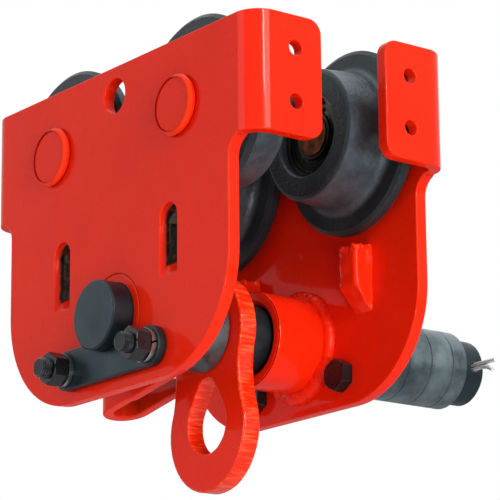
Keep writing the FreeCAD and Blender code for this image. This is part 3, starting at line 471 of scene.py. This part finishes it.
def cast_iron(name):
    """Rough black castings: a pebbled skin that breaks up the highlight, and a tread lighter from wear
    and from a painted highlight.
    """
    s = dark_metal(name, IRON_DARK, IRON_LIGHT, (0.3, 0.44), IRON_METALLIC, (900, 0.00012), 0.5,
                   IRON_WEAR_HIGHLIGHT)
    s.set(Specular_IOR_Level=0.27, Specular_Tint=IRON_GLOSS)
    wrinkles = s.noise(1.0, 4, 0.6, s.stretched((330, 420, 330)), 0.6)
    reach = wheel_radius(s)
    tread = s.math("MULTIPLY", s.ramp(reach, *TREAD_INNER), s.ramp(reach, *TREAD_OUTER, 1, 0))
    # The tread's lighter colour: partly wear, partly a painted highlight.
    tread_wear_and_highlight = s.mix(s.ramp(s.noise(90, 5, 0.7), 0.3, 0.7), TREAD_DARK, TREAD_LIGHT)
    s.set(Base_Color=s.mix(tread, s.colour(), tread_wear_and_highlight),
          Metallic=s.blend(tread, IRON_METALLIC, TREAD_METALLIC))
    return s.bump(wrinkles, 0.00075, 0.6)


# ---- shapes ---------------------------------------------------------------------------------------

WELD = 2e-6
FLAT, SHARP = 0.01, math.radians(32)  # the angles under which faces are one, and over which edges show
SHADING_WEIGHT = 60


def whole_faces(node):
    """A copy of a node's solid, with each flat face in one piece, so that its edges can be rounded."""
    shape = bmesh.new()
    shape.from_mesh(NODES[node].data)
    bmesh.ops.remove_doubles(shape, verts=shape.verts, dist=WELD)
    bmesh.ops.dissolve_limit(shape, angle_limit=FLAT, verts=shape.verts, edges=shape.edges)
    return shape


def middle(item):
    """The mean place of an edge's or a face's corners."""
    total = Vector((0, 0, 0))
    for vert in item.verts:
        total += vert.co
    return total / len(item.verts)


def soften(shape, width, segments=2, wanted=None):
    """Rounds the sharp edges that wanted picks."""
    sharp = [edge for edge in shape.edges
             if len(edge.link_faces) == 2 and edge.calc_face_angle() > SHARP
             and (wanted is None or wanted(middle(edge)))]
    bmesh.ops.bevel(shape, geom=sharp, offset=width, offset_type="OFFSET", segments=segments,
                    profile=0.5, affect="EDGES", clamp_overlap=False)


def add_piece(node, shape, *materials):
    """Puts a finished shape in a node's place, on the node's body and with its finish."""
    mesh = bpy.data.meshes.new(node + "_piece")
    bmesh.ops.recalc_face_normals(shape, faces=shape.faces)
    for face in shape.faces:
        face.smooth = True
    shape.to_mesh(mesh)
    shape.free()
    piece = bpy.data.objects.new(node + "_piece", mesh)
    bpy.context.scene.collection.objects.link(piece)
    shading = piece.modifiers.new("shading", "WEIGHTED_NORMAL")
    shading.weight = SHADING_WEIGHT
    for look in materials:
        mesh.materials.append(look.material)
    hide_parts(node)
    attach(piece, BODY_OF[node])


# ---- side plates: pressed pockets, and the lugs that they push in ----------------------------------

# The pockets' places along X, and their shape as the CAD cuts it: an outer slot, a narrower core that
# ends in a floor, and the lug on the plate's inner side.
SLOTS = {"front_side_plate": (-0.0554, 0.0554), "rear_side_plate": (-0.0478, 0.0630)}
PLATE_THICK, PLATE_SOFT = 0.008, 0.0009
HAIR = 0.0001
SLOT_HALF = 0.0095
SLOT_LOW, SLOT_HIGH = -0.058, -0.0125
CORE_HALF, CORE_REACH = 0.0049, 0.0057
CORE_FLOOR, CORE_SKIN = 0.0598, 0.0002
CORE_LOW, CORE_HIGH, CORE_LIP = -0.0446, -0.0247, 0.001
CAP_INSET = 0.0012
LUGS_WITHIN, LUG_REACH = 0.09, 0.0145
LUG_MIDDLE, LUG_HALF = -0.036, 0.03
ROOT_FLARE, ROOT_SUNK = 0.0014, 0.0018
# How a lug is melted, waved, torn along its top and cracked down one side.
VOXEL, SMOOTHING, SMOOTH_ROUNDS = 0.0008, 0.7, 14
WAVE_SCALE, WAVE_HEIGHT = 140, 0.0007
TEAR_SCALE, TEAR_HEIGHT = 480, 0.0012
TEAR_BELOW_TOP, TEAR_FADE = 0.008, 0.007
CRACK_SIDE, CRACK_WIDTH, CRACK_DEPTH = 0.002, 0.0012, 0.0022


def lug_block(faces, inner):
    """A closed block made from a lug's own faces, with its root flared and sunk in the plate."""
    block = bmesh.new()
    corners = {}
    for face in faces:
        for vert in face.verts:
            if vert not in corners:
                corners[vert] = block.verts.new(vert.co)
        block.faces.new([corners[vert] for vert in face.verts])
    bmesh.ops.holes_fill(block, edges=[edge for edge in block.edges if edge.is_boundary], sides=0)
    root = [vert for vert in block.verts if abs(vert.co.y) > inner - HAIR]
    centre = sum((vert.co for vert in root), Vector()) / len(root)
    for vert in root:
        vert.co.x += math.copysign(ROOT_FLARE, vert.co.x - centre.x)
        vert.co.z += math.copysign(ROOT_FLARE, vert.co.z - centre.z)
        vert.co.y += math.copysign(ROOT_SUNK, vert.co.y)
    bmesh.ops.recalc_face_normals(block, faces=block.faces)
    return block


def melted(block):
    """A block's skin in even small faces, with its corners smoothed away."""
    mesh = bpy.data.meshes.new("lug")
    block.to_mesh(mesh)
    block.free()
    holder = bpy.data.objects.new("lug", mesh)
    bpy.context.scene.collection.objects.link(holder)
    remesh = holder.modifiers.new("voxels", "REMESH")
    remesh.mode = "VOXEL"
    remesh.voxel_size = VOXEL
    smooth = holder.modifiers.new("smooth", "SMOOTH")
    smooth.factor = SMOOTHING
    smooth.iterations = SMOOTH_ROUNDS
    ready = holder.evaluated_get(bpy.context.evaluated_depsgraph_get())
    lug = bpy.data.meshes.new_from_object(ready)
    bpy.data.objects.remove(holder)
    bpy.data.meshes.remove(mesh)
    return lug


def rounded_lug(faces, inner):
    """A lug with its corners drowned in paint, its top torn and its skin clear of the pocket's core."""
    lug = melted(lug_block(faces, inner))
    top = max(vert.co.z for vert in lug.vertices)
    side = sum(vert.co.x for vert in lug.vertices) / len(lug.vertices)
    for vert in lug.vertices:
        at = vert.co.copy()
        torn = max(0.0, min(1.0, (at.z - top + TEAR_BELOW_TOP) / TEAR_FADE))
        push = noise.noise(at * WAVE_SCALE) * WAVE_HEIGHT
        push += noise.noise(at * TEAR_SCALE) * TEAR_HEIGHT * torn
        push -= CRACK_DEPTH * torn * math.exp(-((at.x - side - CRACK_SIDE) / CRACK_WIDTH) ** 2)
        vert.co = at + vert.normal * push
        on_core = abs(at.x - side) < CORE_REACH and CORE_LOW - CORE_LIP < at.z < CORE_HIGH + CORE_LIP
        if on_core and abs(at.y) > inner:
            vert.co.y = math.copysign(CORE_FLOOR - CORE_SKIN, at.y)
    return lug


def side_plate(node, look, shade_look):
    """The bent plate: rounded by its paint, with pockets darkened by painted shade and forged-looking
    lugs.
    """
    low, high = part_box(node)
    outer = max(abs(low.y), abs(high.y))
    inner = outer - PLATE_THICK
    slots = SLOTS[node]

    def on_lug(at):
        return (abs(at.x) < LUGS_WITHIN and abs(at.z - LUG_MIDDLE) < LUG_HALF
                and inner - LUG_REACH < abs(at.y) < inner - CORE_SKIN)

    def in_core(at):
        near = any(abs(at.x - x) < CORE_HALF for x in slots)
        return near and abs(at.y) > CORE_FLOOR and CORE_LOW < at.z < CORE_HIGH

    def in_pocket(at):
        near = any(abs(at.x - x) < SLOT_HALF for x in slots)
        return near and SLOT_LOW < at.z < SLOT_HIGH and CORE_FLOOR < abs(at.y) < outer - HAIR

    shape = whole_faces(node)
    for face in shape.faces:
        at = middle(face)
        # Faces deep in the pockets take the painted shade.
        shade_painted = in_pocket(at) and (in_core(at) or not on_lug(at))
        face.material_index = 1 if shade_painted else 0
    lugs = []
    for x in slots:
        skin = [face for face in shape.faces if on_lug(middle(face))
                and abs(middle(face).x - x) < SLOT_HALF and not in_core(middle(face))]
        lugs.append(rounded_lug(skin, inner))
        bmesh.ops.delete(shape, geom=skin, context="FACES")
    holes = [edge for edge in shape.edges if edge.is_boundary]
    for cap in bmesh.ops.holes_fill(shape, edges=holes, sides=0)["faces"]:
        bmesh.ops.inset_individual(shape, faces=[cap], thickness=CAP_INSET)
        for vert in cap.verts:
            vert.co.y = math.copysign(CORE_FLOOR - CORE_SKIN, vert.co.y)
            vert.co.z = max(vert.co.z, CORE_LOW - CORE_LIP)
    soften(shape, PLATE_SOFT, 2, lambda at: not on_lug(at) and not in_pocket(at))
    for lug in lugs:
        shape.from_mesh(lug)
        bpy.data.meshes.remove(lug)
    add_piece(node, shape, look, shade_look)


# ---- suspension eye: cut by a torch ----------------------------------------------------------------

# A rounded rim at each face, even steps round the outline, rows across the wall, and drag lines that
# are so deep, lag so far towards the faces and are stretched through the plate.
RIM, RIM_ANGLES = 0.0013, (0, 30, 60, 90)
CUT_STEP, CUT_ROWS = 0.0007, 6
CUT_DEPTH, CUT_LAG, CUT_STRETCH = 0.0005, 0.0012, 0.12
FINE_SCALES, BROAD_SCALE = (700, 300), 90
BORE_NEAR = 0.004
FEWEST_POINTS = 12
TINY = 1e-9


def loops_at(node, height):
    """The closed outlines where a plane across Y cuts a node, as lists of (x, z) points."""
    shape = whole_faces(node)
    everything = [*shape.verts, *shape.edges, *shape.faces]
    cut = bmesh.ops.bisect_plane(shape, geom=everything, plane_co=(0, height, 0), plane_no=(0, 1, 0))
    edges = [item for item in cut["geom_cut"] if isinstance(item, bmesh.types.BMEdge)]
    nexts = {}
    for edge in edges:
        for a, b in (edge.verts, reversed(edge.verts)):
            nexts.setdefault(a, []).append(b)
    loops, used = [], set()
    for start in nexts:
        if start in used:
            continue
        loop, here, before = [], start, None
        while here not in used:
            used.add(here)
            loop.append((here.co.x, here.co.z))
            ahead = [v for v in nexts[here] if v is not before and v not in used]
            before = here
            if not ahead:
                break
            here = ahead[0]
        loops.append(loop)
    shape.free()
    return loops


def area_of(loop):
    """The area inside a closed outline, negative where it runs clockwise."""
    return 0.5 * sum(a[0] * b[1] - b[0] * a[1] for a, b in zip(loop, loop[1:] + loop[:1]))


def resampled(loop, step):
    """Points at even steps round a closed loop."""
    points = [Vector(p) for p in loop]
    lengths = [(b - a).length for a, b in zip(points, points[1:] + points[:1])]
    count = max(FEWEST_POINTS, round(sum(lengths) / step))
    spacing = sum(lengths) / count
    found, index, passed = [], 0, 0.0
    for number in range(count):
        want = number * spacing
        while passed + lengths[index] < want:
            passed += lengths[index]
            index += 1
        a, b = points[index], points[(index + 1) % len(points)]
        found.append(a.lerp(b, (want - passed) / max(lengths[index], TINY)))
    return found


def cut_profile(face):
    """(inset, y) across a cut edge: a rounded rim, the wall and the other rim."""
    turns = [math.radians(angle) for angle in RIM_ANGLES]
    rim = [(RIM * (1 - math.sin(turn)), -face + RIM * (1 - math.cos(turn))) for turn in turns]
    wall = [(0.0, -face + RIM + 2 * (face - RIM) * row / CUT_ROWS) for row in range(1, CUT_ROWS)]
    return rim + wall + [(inset, -y) for inset, y in reversed(rim)]


def torch_bite(spot, along, y, face, depth):
    """How deep the torch's drag lines go at one place on a cut edge; they trail towards both faces."""
    lag = along * (CUT_LAG * (y / face) ** 2)
    at = Vector((spot.x + lag.x, y * CUT_STRETCH, spot.y + lag.y))
    fine = sum(noise.noise(at * scale) * 0.5 for scale in FINE_SCALES)
    return max(0.0, depth * (0.5 + 0.45 * fine + 0.35 * noise.noise(at * BROAD_SCALE)))


def cut_ring(shape, points, inset, y, face, depth):
    """One ring of points round an outline, at one depth through the plate."""
    ring = []
    for index, spot in enumerate(points):
        along = (points[(index + 1) % len(points)] - points[index - 1]).normalized()
        out = Vector((along.y, -along.x))
        spot = spot - out * (inset + torch_bite(spot, along, y, face, depth))
        ring.append(shape.verts.new((spot.x, y, spot.y)))
    return ring


def join_rings(shape, first, second, look):
    """A band of faces between two closed rings of as many points."""
    for index in range(len(first)):
        ahead = (index + 1) % len(first)
        band = shape.faces.new((first[index], first[ahead], second[ahead], second[index]))
        band.material_index = look


def eye_plate(node, look, cut_look):
    """The flame-cut eye: real drag lines across its cut edges and a soft rounded rim."""
    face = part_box(node)[1].y
    loops = sorted(loops_at(node, 0.0), key=lambda loop: -abs(area_of(loop)))
    shape = bmesh.new()
    ends = []
    for number, loop in enumerate(loops):
        if (area_of(loop) > 0) != (number == 0):
            loop = loop[::-1]
        points = resampled(loop, CUT_STEP)
        height = sum(spot.y for spot in points) / len(points)
        is_bore = number > 0 and abs(height - SHAFT_AT.z) < BORE_NEAR
        depth = 0.0 if is_bore else CUT_DEPTH
        rings = [cut_ring(shape, points, inset, y, face, depth) for inset, y in cut_profile(face)]
        for first, second in zip(rings, rings[1:]):
            join_rings(shape, first, second, 0 if is_bore else 1)
        ends.append((rings[0], rings[-1]))
    for side in (0, 1):
        edges = []
        for rings in ends:
            ring = rings[side]
            edges += [shape.edges.get(link) for link in zip(ring, ring[1:] + ring[:1])]
        bmesh.ops.triangle_fill(shape, use_beauty=True, edges=edges, normal=(0, 1 if side else -1, 0))
    add_piece(node, shape, look, cut_look)


# ---- weld bead, and the pieces that only need soft edges -------------------------------------------

# Points round and across the bead, its size as a share of the weld's leg, and its unevenness.
BEAD_AROUND, BEAD_ACROSS = 220, 12
BEAD_SUNK, BEAD_BULGE = 0.0006, 0.05
BEAD_SIZE, BEAD_FULLER = 0.74, 0.2
RIPPLES, RIPPLE_HEIGHT = 46, 0.00018
WANDER, WANDER_SCALE = 2.0, 60
LUMP_SCALE, LUMP_HEIGHT = 110, 0.0007
SAG_SCALE, SAG_HEIGHT = 190, 0.0018
SAG_SHIFT = Vector((3, 1, 2))


def weld_bead(node, look):
    """A hand-laid fillet round the sleeve's foot, fuller and lumpier underneath."""
    low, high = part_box(node)
    foot = high.y
    leg = high.y - low.y
    sleeve = (high.x - low.x) / 2 - leg
    centre_z = (low.z + high.z) / 2
    shape = bmesh.new()
    rings = []
    for number in range(BEAD_AROUND):
        turn = 2 * math.pi * number / BEAD_AROUND
        beam = Vector((math.cos(turn), 0, math.sin(turn)))
        spot = beam * sleeve
        under = max(0.0, -beam.z) ** 2
        wander = WANDER * noise.noise(spot * WANDER_SCALE)
        ripple = math.sin(turn * RIPPLES + wander) * RIPPLE_HEIGHT
        size = leg * (BEAD_SIZE + BEAD_FULLER * under) + ripple
        size += (noise.noise(spot * LUMP_SCALE) * LUMP_HEIGHT
                 + noise.noise(spot * SAG_SCALE + SAG_SHIFT) * SAG_HEIGHT * under)
        ring = [(sleeve - BEAD_SUNK, foot + BEAD_SUNK), (sleeve + size, foot + BEAD_SUNK)]
        for step in range(BEAD_ACROSS + 1):
            angle = math.radians(90 * step / BEAD_ACROSS)
            reach = size * (1 + BEAD_BULGE * math.sin(2 * angle))
            ring.append((sleeve + reach * math.cos(angle), foot - reach * math.sin(angle)))
        ring.append((sleeve - BEAD_SUNK, foot - size))
        rings.append([shape.verts.new((beam.x * r, y, centre_z + beam.z * r)) for r, y in ring])
    for first, second in zip(rings, rings[1:] + rings[:1]):
        join_rings(shape, first, second, 0)
    add_piece(node, shape, look)


def softened(node, look, width, segments=2, wanted=None):
    """A node's own shape with its sharp edges rounded."""
    shape = whole_faces(node)
    soften(shape, width, segments, wanted)
    add_piece(node, shape, look)


# ---- the whole trolley -----------------------------------------------------------------------------

SLOT_LOOKS = {
    "orange_paint": "orange_enamel", "dark_steel": "black_oxide", "wheel_iron": "wheel_iron",
    "bearing_steel": "bearing_steel", "spring_steel": "spring_steel", "zinc_steel": "zinc_plate",
}
# Nodes whose finish differs from the rest of their material slot.
NODE_LOOKS = {
    "front_spring_washers": "washer_zinc", "rear_spring_washers": "washer_zinc",
    "front_plate_bolts": "thread_steel",
    "load_shaft": "blackened_steel", "shaft_keeper_plate": "blackened_steel",
    "inner_thin_spacer": "turned_spacer", "inner_thick_spacers": "turned_spacer",
    "outer_thin_spacer": "turned_spacer", "outer_thick_spacers": "turned_spacer",
    "outer_end_spacer": "turned_spacer",
}
CORNERS = ("front_left", "front_right", "rear_left", "rear_right")
AXLE_HEAD_FROM, AXLE_SOFT = 0.077, 0.0022
SLEEVE_SOFT, STRAP_SOFT, KEEPER_SOFT, NUT_SOFT = 0.0009, 0.0012, 0.0008, 0.0003
STRAP_SHADE_SETTINGS = (0.03, STRAP_CREASE_SHADE, 1.0)  # the reach, colour and limit of the painted shade in the strap's creases


def finish_nodes(looks):
    """Gives every CAD node the finish of its own or of its slot."""
    for node, item in NODES.items():
        look = looks[NODE_LOOKS.get(node, SLOT_LOOKS[SLOT_OF[node]])]
        item.data.materials.clear()
        item.data.materials.append(look.material)


def replace_nodes(looks):
    """The pieces whose painted, cut or welded shape the CAD does not show."""
    orange, black = looks["orange_enamel"], looks["black_oxide"]
    # The pockets' painted shade.
    pocket = pocket_shade_paint("pocket_painted_shade")
    side_plate("front_side_plate", orange, pocket)
    side_plate("rear_side_plate", orange, pocket)
    eye_plate("suspension_eye_plate", orange, flame_cut_paint("flame_cut_enamel"))
    weld_bead("sleeve_weld_bead", orange)
    axle = axle_paint("axle_enamel")
    for corner in CORNERS:
        softened(corner + "_axle", axle, AXLE_SOFT, 3, lambda at: abs(at.y) > AXLE_HEAD_FROM)
    softened("rear_shaft_sleeve", orange, SLEEVE_SOFT)
    softened("eye_guard_strap", paint("strap_enamel", *STRAP_SHADE_SETTINGS), STRAP_SOFT)
    softened("shaft_keeper_plate", looks["blackened_steel"], KEEPER_SOFT)
    softened("front_nuts", black, NUT_SOFT, 1)
    softened("rear_nuts", black, NUT_SOFT, 1)


def main():
    add_camera()
    add_world()
    for lamp in LAMPS:
        add_lamp(*lamp)
    add_floor()
    looks = {name: dark_metal(name, **settings) for name, settings in METALS.items()}
    looks["orange_enamel"] = paint("orange_enamel")
    looks["wheel_iron"] = cast_iron("wheel_iron")
    looks["turned_spacer"] = turned_steel("turned_spacer")
    finish_nodes(looks)
    replace_nodes(looks)
    bpy.context.scene.view_settings.view_transform = "Standard"


main()
